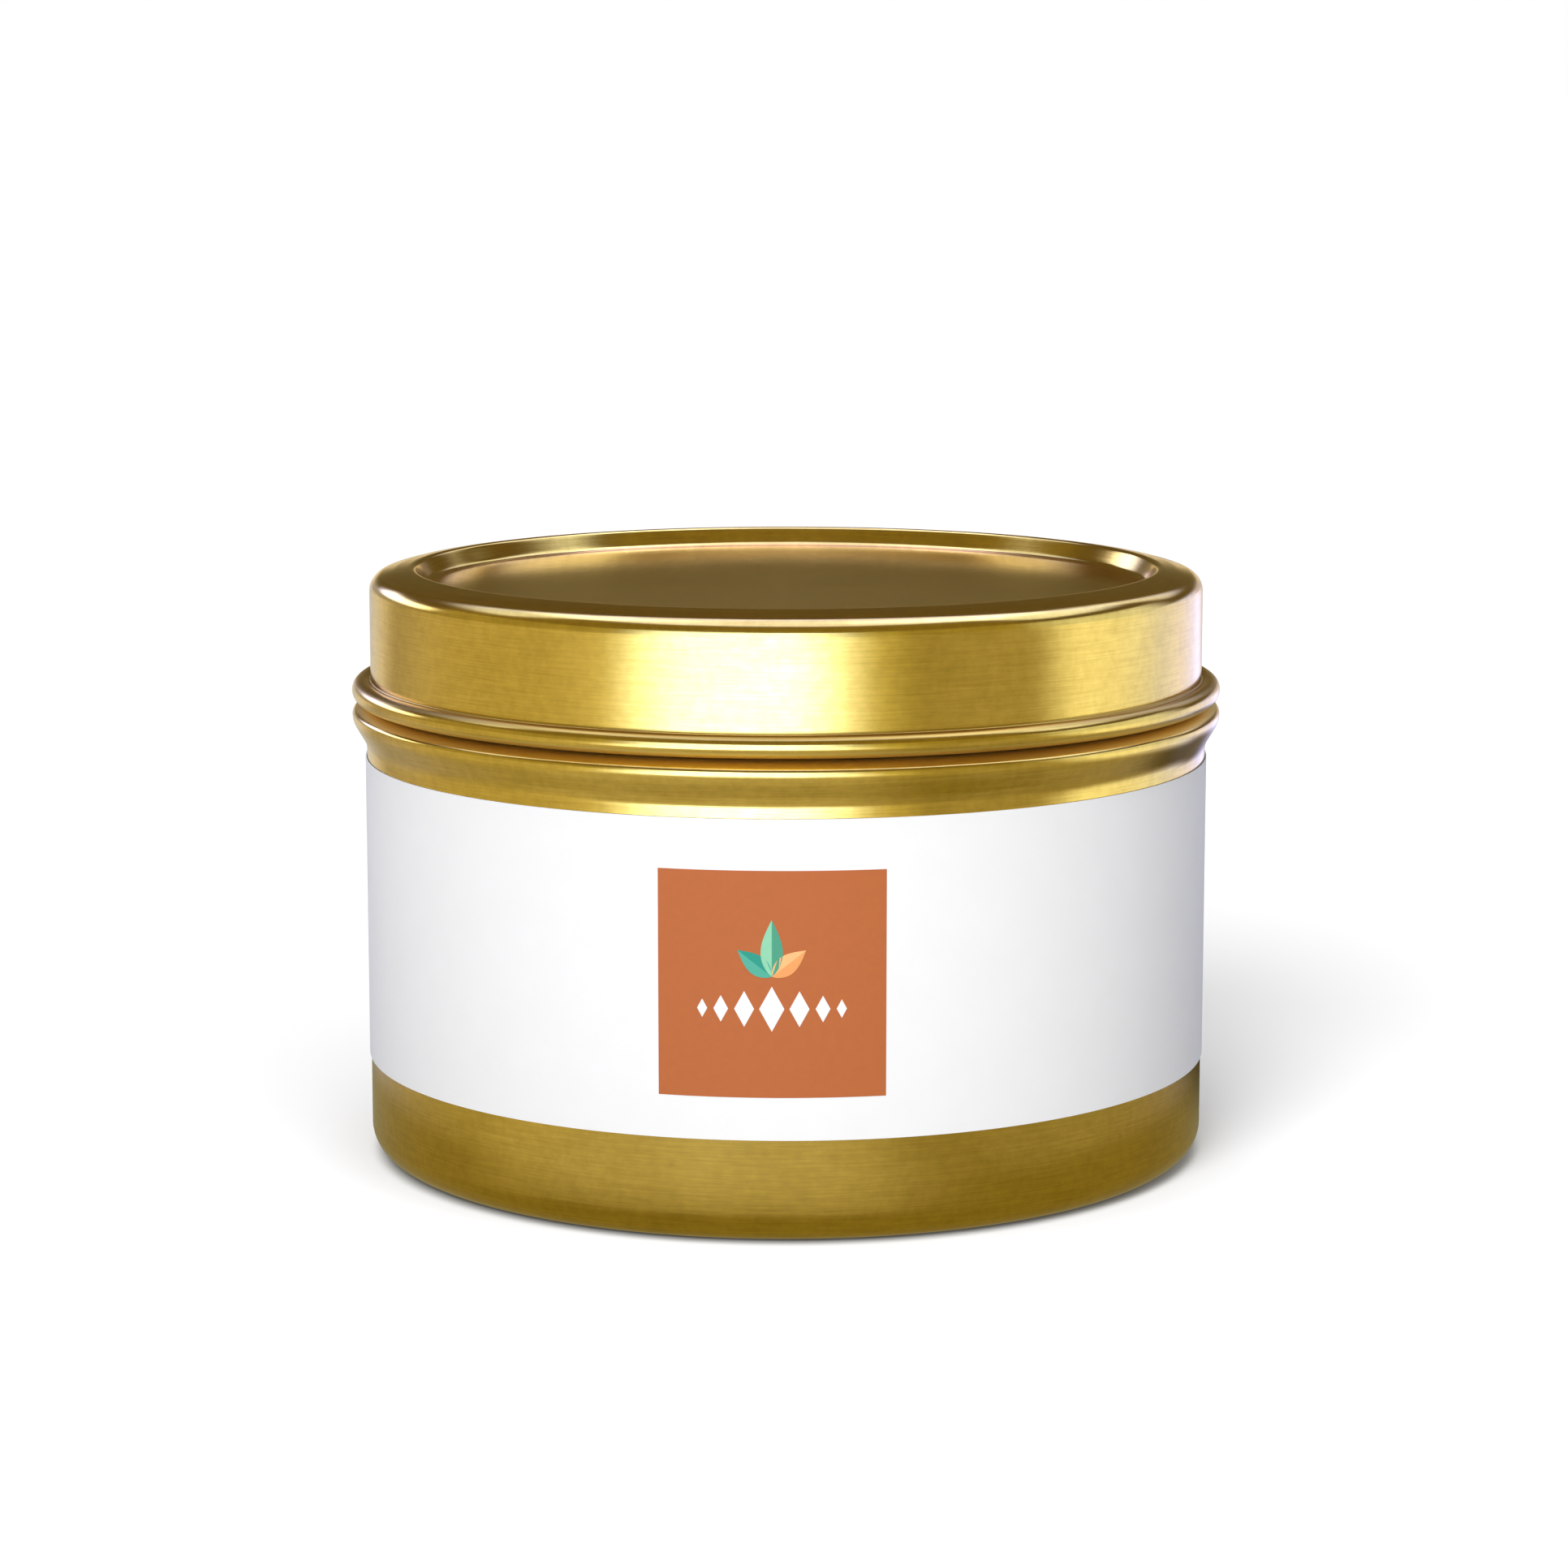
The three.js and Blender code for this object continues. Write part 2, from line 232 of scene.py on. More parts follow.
def lid_middle(top):
    """Middle of the lid's sheet, from the centre of the panel to the rolled lower edge."""
    skirt = LID_WALL_RADIUS - HALF_SHEET
    panel = top - LID_PANEL_DEPTH - HALF_SHEET
    slope = math.radians(LID_SLOPE_ANGLE)
    crest = top - HALF_SHEET
    crest_inner = LID_CREST_RADIUS - LID_CREST_LEVEL / 2
    crest_outer = LID_CREST_RADIUS + LID_CREST_LEVEL / 2
    round_height = crest - LID_CREST_ROUND
    slope_top = on_circle(crest_inner, round_height, LID_CREST_ROUND, 90 + LID_SLOPE_ANGLE)
    slope_foot = panel + LID_PANEL_FILLET * (1 - math.cos(slope))
    slope_run = (slope_top[1] - slope_foot) / math.tan(slope)
    fillet = slope_top[0] - slope_run - LID_PANEL_FILLET * math.sin(slope)
    crown = on_circle(crest_outer, crest, -LID_CROWN, 90 - LID_CREST_TILT)
    shoulder = skirt - LID_SHOULDER
    shoulder_reach = LID_CROWN - LID_SHOULDER
    shoulder_tilt = math.asin((shoulder - crown[0]) / shoulder_reach)
    shoulder_height = crown[1] + shoulder_reach * math.cos(shoulder_tilt)
    shoulder_start = 90 - math.degrees(shoulder_tilt)
    curl = LID_CURL_OUTER - HALF_SHEET - LID_CURL_SECTION
    flare_offset = curl - (skirt + LID_FLARE)
    flare_reach = LID_FLARE + LID_CURL_SECTION
    flare_height = LID_CURL_HEIGHT + math.sqrt(flare_reach**2 - flare_offset**2)
    flare_angle = math.degrees(math.asin(flare_offset / flare_reach))
    return held([
        (0, panel),
        *arc(fillet, panel + LID_PANEL_FILLET, LID_PANEL_FILLET, -90, LID_SLOPE_ANGLE - 90),
        *arc(crest_inner, round_height, LID_CREST_ROUND, 90 + LID_SLOPE_ANGLE, 90),
        *arc(crown[0], crown[1], LID_CROWN, 90 - LID_CREST_TILT, shoulder_start),
        *arc(shoulder, shoulder_height, LID_SHOULDER, shoulder_start, 0)[1:],
        *arc(skirt + LID_FLARE, flare_height, LID_FLARE, 180, 270 + flare_angle),
        *arc(curl, LID_CURL_HEIGHT, LID_CURL_SECTION, 90 + flare_angle, LID_CURL_END)[1:],
    ])


# ---------------------------------------------------------------- meshes

def new_piece(name, verts, faces, material, smooth_angle=35):
    """A mesh object from vertices in metres, with its faces turned outwards."""
    mesh = bpy.data.meshes.new(name)
    mesh.from_pydata(verts, [], faces)
    bm = bmesh.new()
    bm.from_mesh(mesh)
    bmesh.ops.recalc_face_normals(bm, faces=bm.faces)
    bm.to_mesh(mesh)
    bm.free()
    return shaded(name, mesh, material, smooth_angle)


def shaded(name, mesh, material, smooth_angle=35):
    mesh.polygons.foreach_set("use_smooth", [True] * len(mesh.polygons))
    mesh.set_sharp_from_angle(angle=math.radians(smooth_angle))
    mesh.materials.append(material)
    piece = bpy.data.objects.new(name, mesh)
    bpy.context.scene.collection.objects.link(piece)
    return piece


def turned(name, outline, material, steps=ROUND_STEPS, bend=None):
    """Turns an outline round Z. It ends on the axis, or its last point joins its first."""
    outline = [(float(r), float(z)) for r, z in outline]
    on_axis = outline[0][0] < 1e-6 and outline[-1][0] < 1e-6
    verts = []
    rings = []
    for radius, height in outline:
        ring = []
        count = 1 if radius < 1e-6 else steps
        for i in range(count):
            angle = 2 * math.pi * i / steps
            lift = bend(radius, height, angle) if bend else 0.0
            place = (radius * math.sin(angle), -radius * math.cos(angle), height + lift)
            ring.append(len(verts))
            verts.append(Vector(place) * MM)
        rings.append(ring)
    pairs = list(zip(rings, rings[1:]))
    if not on_axis:
        pairs.append((rings[-1], rings[0]))
    faces = []
    for low, high in pairs:
        for i in range(steps):
            j = (i + 1) % steps
            below = [low[i % len(low)], low[j % len(low)]]
            above = [high[j % len(high)], high[i % len(high)]]
            faces.append(list(dict.fromkeys(below + above)))
    return new_piece(name, verts, faces, material)


def on_wall(along, height, radius):
    """A point of the wall in metres; along is measured round it from the front, to the right."""
    angle = along / radius
    return Vector((radius * math.sin(angle), -radius * math.cos(angle), height)) * MM


def wrap_label(low, high, inner, material):
    """The wrap label: one strip of paper whose end laps over its start at the back."""
    length = 2 * math.pi * inner + LABEL_OVERLAP
    start = -math.pi * inner - LABEL_OVERLAP / 2
    verts = []
    for i in range(LABEL_STEPS + 1):
        run = length * i / LABEL_STEPS
        climb = (run - (length - LABEL_OVERLAP - LAP_RISE)) / LAP_RISE
        climb = min(max(climb, 0.0), 1.0)
        lift = (PAPER + LAP_GAP) * climb * climb * (3 - 2 * climb)
        angle = (start + run) / inner
        outer = inner + PAPER
        for radius, height in ((inner, low), (outer, low), (outer, high), (inner, high)):
            reach = radius + lift
            verts.append(Vector((reach * math.sin(angle), -reach * math.cos(angle), height)) * MM)
    faces = [(0, 1, 2, 3)]
    for i in range(LABEL_STEPS):
        for k in range(4):
            a = 4 * i + k
            b = 4 * i + (k + 1) % 4
            faces.append((a, b, b + 4, a + 4))
    last = 4 * LABEL_STEPS
    faces.append((last + 3, last + 2, last + 1, last))
    return new_piece("paper_wrap", verts, faces, material)


def ink(name, shapes, radius, lift, material):
    """Thin ink on the wrap label, from flat (along, height) outlines bent round the wall."""
    bm = bmesh.new()
    for shape in shapes:
        bm.faces.new([bm.verts.new((x, y, 0)) for x, y in shape])
    reach = [x for shape in shapes for x, _ in shape]
    cut = math.ceil(min(reach) / INK_CUT) * INK_CUT
    while cut < max(reach):
        everything = bm.verts[:] + bm.edges[:] + bm.faces[:]
        bmesh.ops.bisect_plane(bm, geom=everything, plane_co=(cut, 0, 0), plane_no=(1, 0, 0), dist=1e-5)
        cut += INK_CUT
    raised = bmesh.ops.extrude_face_region(bm, geom=bm.faces[:])["geom"]
    top = {v for v in raised if isinstance(v, bmesh.types.BMVert)}
    for vert in bm.verts:
        vert.co = on_wall(vert.co.x, vert.co.y, radius + (lift if vert in top else INK_GAP))
    bmesh.ops.recalc_face_normals(bm, faces=bm.faces)
    mesh = bpy.data.meshes.new(name)
    bm.to_mesh(mesh)
    bm.free()
    return shaded(name, mesh, material)


# ---------------------------------------------------------------- the print

def rectangle(left, low, width, height):
    return [(left, low), (left + width, low), (left + width, low + height), (left, low + height)]


def lozenge(along, height, width, tall):
    return [
        (along - width / 2, height),
        (along, height - tall / 2),
        (along + width / 2, height),
        (along, height + tall / 2),
    ]


def half_leaf(foot, length, width, lean, side):
    """One half of a pointed leaf that grows from its foot, leaning to the right by lean degrees."""
    rib = [(0.0, length), (0.0, 0.0)]
    edge = []
    for i in range(1, LEAF_STEPS):
        t = i / LEAF_STEPS
        edge.append((side * width / 2 * math.sin(math.pi * t ** 0.8), length * t))
    angle = math.radians(lean)
    points = rib + edge
    return [
        (
            foot[0] + x * math.cos(angle) + y * math.sin(angle),
            foot[1] - x * math.sin(angle) + y * math.cos(angle),
        )
        for x, y in points
    ]


# ---------------------------------------------------------------- materials

def new_material(name):
    material = bpy.data.materials.new(name)
    material.use_nodes = True
    return material, material.node_tree.nodes, material.node_tree.links


def math_node(nodes, links, operation, a, b=None, c=None):
    node = nodes.new("ShaderNodeMath")
    node.operation = operation
    for socket, value in zip(node.inputs, (a, b, c)):
        if value is None:
            continue
        if isinstance(value, (int, float)):
            socket.default_value = value
        else:
            links.new(value, socket)
    return node.outputs[0]


def noise_node(nodes, links, scale, detail, roughness, vector, fourth=None):
    """Noise over a vector, and over a fourth coordinate where one is given."""
    node = nodes.new("ShaderNodeTexNoise")
    node.inputs["Scale"].default_value = scale
    node.inputs["Detail"].default_value = detail
    node.inputs["Roughness"].default_value = roughness
    links.new(vector, node.inputs["Vector"])
    if fourth is not None:
        node.noise_dimensions = "4D"
        links.new(fourth, node.inputs["W"])
    return node.outputs["Fac"]


def ramp_node(nodes, links, factor, low, high, low_value, high_value, smooth=True):
    """Maps factor from low..high to low_value..high_value."""
    node = nodes.new("ShaderNodeMapRange")
    node.interpolation_type = "SMOOTHSTEP" if smooth else "LINEAR"
    node.inputs["From Min"].default_value = low
    node.inputs["From Max"].default_value = high
    node.inputs["To Min"].default_value = low_value
    node.inputs["To Max"].default_value = high_value
    links.new(factor, node.inputs["Value"])
    return node.outputs["Result"]


def window(nodes, links, value, start, end, edge):
    """1 between start and end, fading to 0 outside them.

    There is no edge where a limit is straight up, straight down or directly behind.
    """
    mask = None
    for limit, low, high in ((start, 0.0, 1.0), (end, 1.0, 0.0)):
        if abs(limit) in (90, 180):
            continue
        side = ramp_node(nodes, links, value, limit - edge, limit + edge, low, high)
        mask = side if mask is None else math_node(nodes, links, "MULTIPLY", mask, side)
    return mask


def mix_colour(nodes, links, factor, first, second):
    node = nodes.new("ShaderNodeMix")
    node.data_type = "RGBA"
    links.new(factor, node.inputs["Factor"])
    for socket, value in ((node.inputs[6], first), (node.inputs[7], second)):
        if isinstance(value, tuple):
            socket.default_value = (*value, 1)
        else:
            links.new(value, socket)
    return node.outputs[2]


def bump_node(nodes, links, height, strength, distance):
    node = nodes.new("ShaderNodeBump")
    node.inputs["Strength"].default_value = strength
    node.inputs["Distance"].default_value = distance
    links.new(height, node.inputs["Height"])
    return node.outputs["Normal"]


def turned_vector(nodes, links, around, across):
    """Coordinates that follow a turned surface: slow round the axis, fast up it and out from it."""
    coords = nodes.new("ShaderNodeTexCoord").outputs["Object"]
    split = nodes.new("ShaderNodeSeparateXYZ")
    links.new(coords, split.inputs[0])
    x, y, z = split.outputs
    x_squared = math_node(nodes, links, "POWER", x, 2.0)
    y_squared = math_node(nodes, links, "POWER", y, 2.0)
    squares = math_node(nodes, links, "ADD", x_squared, y_squared)
    radius = math_node(nodes, links, "MAXIMUM", math_node(nodes, links, "SQRT", squares), 1e-4)
    join = nodes.new("ShaderNodeCombineXYZ")
    for socket, part in ((join.inputs[0], x), (join.inputs[1], y)):
        turn = math_node(nodes, links, "DIVIDE", part, radius)
        links.new(math_node(nodes, links, "MULTIPLY", turn, around), socket)
    links.new(math_node(nodes, links, "MULTIPLY", z, across), join.inputs[2])
    return coords, join.outputs[0], math_node(nodes, links, "MULTIPLY", radius, across)


def weighted(nodes, links, first, share, second):
    """Share of the first value, and the rest of the second."""
    rest = math_node(nodes, links, "MULTIPLY", second, 1 - share)
    return math_node(nodes, links, "MULTIPLY_ADD", first, share, rest)


def brushed_gold(name, zones):
    """Gold lacquer over brushed tinplate: fine streaks round the axis, and a faint mottled tone.

    Each zone has the heights, the tone and the added roughness of a duller ring. Where a zone's
    tone is darker, as in the crease, the darkness is painted shade.
    """
    material, nodes, links = new_material(name)
    shader = nodes["Principled BSDF"]
    coords, vector, fourth = turned_vector(nodes, links, STREAKS_AROUND, STREAKS_ACROSS)
    streaks = noise_node(nodes, links, 1.0, 3.0, 0.65, vector, fourth)
    mottle = noise_node(nodes, links, 1000.0, 3.0, 0.6, coords)
    clouds = noise_node(nodes, links, 110.0, 2.0, 0.5, coords)
    grain = weighted(nodes, links, streaks, 0.6, mottle)
    tone = weighted(nodes, links, clouds, 0.25, grain)
    factor = ramp_node(nodes, links, tone, 0.36, 0.64, 0.0, 1.0, smooth=False)
    gold_tone = mix_colour(nodes, links, factor, GOLD_DARK, GOLD_LIGHT)
    sheen = ramp_node(nodes, links, grain, 0.3, 0.7, *GOLD_ROUGHNESS, smooth=False)
    height = nodes.new("ShaderNodeSeparateXYZ")
    links.new(coords, height.inputs[0])
    for heights, ring_tone, dullness in zones:
        ring = window(nodes, links, height.outputs[2], *heights, ZONE_EDGE)
        # A darker ring tone, as in the crease, is painted shade
        gold_tone = mix_colour(nodes, links, ring, gold_tone, ring_tone)
        sheen = math_node(nodes, links, "MULTIPLY_ADD", ring, dullness, sheen)
    links.new(gold_tone, shader.inputs["Base Color"])
    links.new(sheen, shader.inputs["Roughness"])
    shader.inputs["Metallic"].default_value = 1.0
    links.new(bump_node(nodes, links, streaks, 0.4, 0.00001), shader.inputs["Normal"])
    return material


def label_paper():
    """White label stock, with a faint fibre grain."""
    material, nodes, links = new_material("label_paper")
    shader = nodes["Principled BSDF"]
    coords = nodes.new("ShaderNodeTexCoord").outputs["Object"]
    fibre = noise_node(nodes, links, 2600.0, 4.0, 0.65, coords)
    tone = noise_node(nodes, links, 300.0, 3.0, 0.5, coords)
    white = mix_colour(nodes, links, tone, (0.895, 0.895, 0.89), (0.93, 0.93, 0.93))
    links.new(white, shader.inputs["Base Color"])
    links.new(ramp_node(nodes, links, fibre, 0.3, 0.7, 0.62, 0.78, smooth=False), shader.inputs["Roughness"])
    shader.inputs["Specular IOR Level"].default_value = 0.1
    links.new(bump_node(nodes, links, fibre, 0.25, 0.00002), shader.inputs["Normal"])
    return material


def printing_ink(name, colour, spread=0.06):
    """Matt ink that sinks a little unevenly into paper."""
    material, nodes, links = new_material(name)
    shader = nodes["Principled BSDF"]
    coords = nodes.new("ShaderNodeTexCoord").outputs["Object"]
    cover = noise_node(nodes, links, 1400.0, 4.0, 0.6, coords)
    dark = tuple(c * (1 - spread) for c in colour)
    light = tuple(min(c * (1 + spread), 1.0) for c in colour)
    links.new(mix_colour(nodes, links, cover, dark, light), shader.inputs["Base Color"])
    links.new(ramp_node(nodes, links, cover, 0.3, 0.7, 0.5, 0.62, smooth=False), shader.inputs["Roughness"])
    shader.inputs["Specular IOR Level"].default_value = 0.1
    links.new(bump_node(nodes, links, cover, 0.2, 0.00001), shader.inputs["Normal"])
    return material


def soy_wax():
    """Creamy poured wax with pale frosting."""
    material, nodes, links = new_material("soy_wax")
    shader = nodes["Principled BSDF"]
    coords = nodes.new("ShaderNodeTexCoord").outputs["Object"]
    frost = noise_node(nodes, links, 160.0, 6.0, 0.62, coords)
    speck = noise_node(nodes, links, 1500.0, 3.0, 0.6, coords)
    factor = ramp_node(nodes, links, frost, 0.42, 0.68, 0.0, 1.0)
    cream = mix_colour(nodes, links, factor, (0.86, 0.77, 0.58), (0.92, 0.87, 0.75))
    links.new(cream, shader.inputs["Base Color"])
    links.new(ramp_node(nodes, links, frost, 0.35, 0.7, 0.34, 0.6), shader.inputs["Roughness"])
    shader.inputs["Subsurface Weight"].default_value = 0.35
    shader.inputs["Subsurface Radius"].default_value = (1.0, 0.7, 0.4)
    shader.inputs["Subsurface Scale"].default_value = 0.003
    links.new(bump_node(nodes, links, speck, 0.25, 0.00008), shader.inputs["Normal"])
    return material


def wick_cotton():
    """Bleached cotton yarn, primed with a little wax."""
    material, nodes, links = new_material("wick_cotton")
    shader = nodes["Principled BSDF"]
    coords = nodes.new("ShaderNodeTexCoord").outputs["Object"]
    fibre = noise_node(nodes, links, 5200.0, 4.0, 0.7, coords)
    yarn = mix_colour(nodes, links, fibre, (0.66, 0.6, 0.47), (0.9, 0.86, 0.74))
    links.new(yarn, shader.inputs["Base Color"])
    shader.inputs["Sheen Weight"].default_value = 0.3
    links.new(ramp_node(nodes, links, fibre, 0.3, 0.7, 0.7, 0.95), shader.inputs["Roughness"])
    links.new(bump_node(nodes, links, fibre, 0.6, 0.00006), shader.inputs["Normal"])
    return material


def tab_steel():
    """Stamped zinc-plated steel, with a faint grain from the strip it was cut from."""
    material, nodes, links = new_material("tab_steel")
    shader = nodes["Principled BSDF"]
    coords = nodes.new("ShaderNodeTexCoord").outputs["Object"]
    stretch = nodes.new("ShaderNodeMapping")
    stretch.inputs["Scale"].default_value = (300.0, 5000.0, 5000.0)
    links.new(coords, stretch.inputs["Vector"])
    grain = noise_node(nodes, links, 1.0, 4.0, 0.6, stretch.outputs["Vector"])
    zinc = mix_colour(nodes, links, grain, (0.48, 0.49, 0.5), (0.66, 0.67, 0.68))
    links.new(zinc, shader.inputs["Base Color"])
    shader.inputs["Metallic"].default_value = 1.0
    links.new(ramp_node(nodes, links, grain, 0.3, 0.7, 0.28, 0.42), shader.inputs["Roughness"])
    return material


def pad_foam():
    """White closed-cell foam."""
    material, nodes, links = new_material("pad_foam")
    shader = nodes["Principled BSDF"]
    coords = nodes.new("ShaderNodeTexCoord").outputs["Object"]
    cells = nodes.new("ShaderNodeTexVoronoi")
    cells.inputs["Scale"].default_value = 3500.0
    links.new(coords, cells.inputs["Vector"])
    depth = cells.outputs["Distance"]
    foam = mix_colour(nodes, links, depth, (0.9, 0.9, 0.87), (0.78, 0.77, 0.73))
    links.new(foam, shader.inputs["Base Color"])
    shader.inputs["Roughness"].default_value = 0.9
    links.new(bump_node(nodes, links, depth, 0.4, 0.0001), shader.inputs["Normal"])
    return material


def floor_matt():
    """The pale floor that shows, darker under the tin's rounded edge."""
    material, nodes, links = new_material("floor_matt")
    shader = nodes["Principled BSDF"]
    coords = nodes.new("ShaderNodeTexCoord").outputs["Object"]
    tone = noise_node(nodes, links, 40.0, 2.0, 0.5, coords)
    white = mix_colour(nodes, links, tone, (0.935,) * 3, (0.945,) * 3)
    reach = nodes.new("ShaderNodeVectorMath")
    reach.operation = "LENGTH"
    links.new(coords, reach.inputs[0])
    open_air = ramp_node(nodes, links, reach.outputs["Value"], *CONTACT_SHADE, 0.0, 1.0)
    links.new(mix_colour(nodes, links, open_air, CONTACT_TONE, white), shader.inputs["Base Color"])
    shader.inputs["Roughness"].default_value = 1.0
    shader.inputs["Specular IOR Level"].default_value = 0.0
    return material


# ---------------------------------------------------------------- stage, light and camera

# What the metal mirrors. Azimuths are from the front to the right and elevations from level, in
# degrees, and each panel of light is added to the room. A panel has its azimuths, its elevations,
# the softness of its sides and of its ends, and its radiance.
ROOM = (0.13, 0.1, 0.035)
KEY = (2.4, 3.6, 16.0)
KEY_HALO = (0.25, 0.3, 0.3)
REAR_GLOW = (0.85, 0.7, 0.42)
LIGHT_PANELS = [
    ("key", (-35, 11), (-90, 25), 14, 2, KEY),
    ("key_halo", (-48, 29), (-90, 26), 8, 3, KEY_HALO),
    ("right_fill", (74, 125), (-90, 24), 10, 3, (0.74, 1.0, 2.8)),
    ("right_low", (125, 150), (-90, 6), 8, 3, (0.8, 1.0, 2.6)),
    ("right_edge", (148, 164), (-90, 6), 6, 3, (0.5, 0.5, 0.7)),
    ("left_light", (-152, -116), (8, 19.5), 6, 2.5, (2.6, 3.1, 7.0)),
    ("left_room", (-114, -46), (-90, 27), 6, 3, (0.28, 0.3, 0.3)),
    ("left_low", (-165, -114), (-90, 6), 6, 3, (0.28, 0.3, 0.35)),
    ("right_room", (22, 75), (-90, 27), 6, 3, (0.25, 0.27, 0.25)),
    ("front_high", (-120, 76), (27, 62), 10, 5, (0.12, 0.12, 0.1)),
    ("right_high", (84, 148), (38, 80), 8, 5, (1.1, 1.5, 6.0)),
    ("right_rear", (139, 157), (19, 40), 6, 4, (0.8, 1.0, 2.2)),
    ("left_high", (-148, -96), (38, 75), 8, 5, (0.8, 1.1, 4.5)),
    ("rear_glow_left", (-180, -165), (-90, 3.5), 5, 1.5, REAR_GLOW),
    ("rear_glow_right", (165, 180), (-90, 3.5), 5, 1.5, REAR_GLOW),
]
OVERHEAD_TILT = 9                # the overhead light's centre leans to the back
OVERHEAD_REACH = 31
OVERHEAD_EDGE = 5
OVERHEAD = (1.15, 1.5, 7.5)

# The floor as the metal mirrors it: darker round the tin's foot, and with the panels of light
# starting at some distance from the axis, in metres, as (from, to).
FLOOR_ROOM = (0.06, 0.05, 0.02)
FLOOR_PANELS = [
    ("near", (-165, 108), 20, (0.0, 0.02), (0.19, 0.185, 0.11)),
    ("far", (-180, 180), 1, (0.08, 0.13), (0.09, 0.09, 0.12)),
    ("key", (-35, 11), 14, (0.115, 0.15), KEY),
    ("key_halo", (-48, 29), 8, (0.115, 0.15), KEY_HALO),
    ("front", (-52, 22), 18, (0.04, 0.062), (0.29, 0.34, 0.8)),
    ("right_fill", (74, 125), 9, (0.085, 0.17), (0.74, 0.97, 2.7)),
    ("right_far", (125, 156), 8, (0.13, 0.24), (0.9, 1.05, 2.2)),
    ("left_floor", (-158, -46), 8, (0.0, 0.12), (0.1, 0.1, 0.1)),
    ("left_near", (-120, -50), 12, (0.053, 0.063), (0.12, 0.14, 0.3)),
    ("right_near", (35, 105), 12, (0.053, 0.063), (0.1, 0.12, 0.3)),
    ("left_edge", (-172, -136), 8, (0.1, 0.24), (0.32, 0.33, 0.35)),
    ("rear_left", (-180, -165), 6, (0.12, 0.3), (0.5, 0.45, 0.35)),
    ("rear_right", (150, 180), 6, (0.15, 0.28), (0.5, 0.47, 0.45)),
]

# The floor's light on the label: weaker close to the tin, which shades it, and on the right
BOUNCE = (0.36,) * 3
BOUNCE_PANELS = [
    ("open_floor", (-180, 180), 1, (0.04, 0.14), (0.16,) * 3),
    ("lit_floor", (-125, 35), 35, (0.04, 0.1), (0.26,) * 3),
]

# What lights the matt surfaces: an even glow, and suns with their azimuth, elevation, spread and
# strength
DIFFUSE_AMBIENT = 0.08
SUNS = [
    ("key_sun", -20, 36, 28, 2.15),
    ("fill_sun", 45, 30, 60, 0.85),
    ("top_sun", -15, 76, 45, 1.45),
    ("back_sun", 180, 20, 60, 0.6),
]

# The shade under the tin's rounded edge: where the floor comes out of it, in metres from the axis
CONTACT_SHADE = (0.0362, 0.0392)
CONTACT_TONE = (0.22, 0.22, 0.22)

# Half the floors' width, and how far each lies below the tin's foot, one under another, in metres
FLOOR_SIDE = 30.0
SHOWN_DROP = 0.00002
MIRRORED_DROP = 0.00003
BOUNCE_DROP = 0.00004


def both(nodes, links, first, second):
    if first is None or second is None:
        return first or second
    return math_node(nodes, links, "MULTIPLY", first, second)


def add_light(nodes, links, room, mask, radiance):
    """Adds mask times radiance to a colour, which is a tuple or a socket."""
    node = nodes.new("ShaderNodeVectorMath")
    node.operation = "MULTIPLY_ADD"
    links.new(mask, node.inputs[0])
    node.inputs[1].default_value = radiance
    if isinstance(room, tuple):
        node.inputs[2].default_value = room
    else:
        links.new(room, node.inputs[2])
    return node.outputs[0]


def azimuth_of(nodes, links, x, y):
    """Direction from the axis in degrees, from the front to the right."""
    away = math_node(nodes, links, "MULTIPLY", y, -1.0)
    turn = math_node(nodes, links, "ARCTAN2", x, away)
    return math_node(nodes, links, "MULTIPLY", turn, DEGREES)


def mirrored_room(nodes, links):
    """The colour that a mirroring surface sees in each direction above the floor."""
    direction = nodes.new("ShaderNodeTexCoord").outputs["Generated"]
    split = nodes.new("ShaderNodeSeparateXYZ")
    links.new(direction, split.inputs[0])
    x, y, z = split.outputs
    azimuth = azimuth_of(nodes, links, x, y)
    elevation = math_node(nodes, links, "MULTIPLY", math_node(nodes, links, "ARCSINE", z), DEGREES)
    room = ROOM
    for _, across, up, across_edge, up_edge, radiance in LIGHT_PANELS:
        sides = window(nodes, links, azimuth, *across, across_edge)
        ends = window(nodes, links, elevation, *up, up_edge)
        room = add_light(nodes, links, room, both(nodes, links, sides, ends), radiance)
    tilt = math.radians(OVERHEAD_TILT)
    near = nodes.new("ShaderNodeVectorMath")
    near.operation = "DOT_PRODUCT"
    near.inputs[1].default_value = (0, math.sin(tilt), math.cos(tilt))
    links.new(direction, near.inputs[0])
    apart = math_node(nodes, links, "ARCCOSINE", near.outputs["Value"])
    apart = math_node(nodes, links, "MULTIPLY", apart, DEGREES)
    low = OVERHEAD_REACH - OVERHEAD_EDGE
    cap = ramp_node(nodes, links, apart, low, OVERHEAD_REACH + OVERHEAD_EDGE, 1.0, 0.0)
    return add_light(nodes, links, room, cap, OVERHEAD)


def background(nodes, colour, strength=1.0):
    node = nodes.new("ShaderNodeBackground")
    node.inputs["Color"].default_value = (*colour, 1)
    node.inputs["Strength"].default_value = strength
    return node


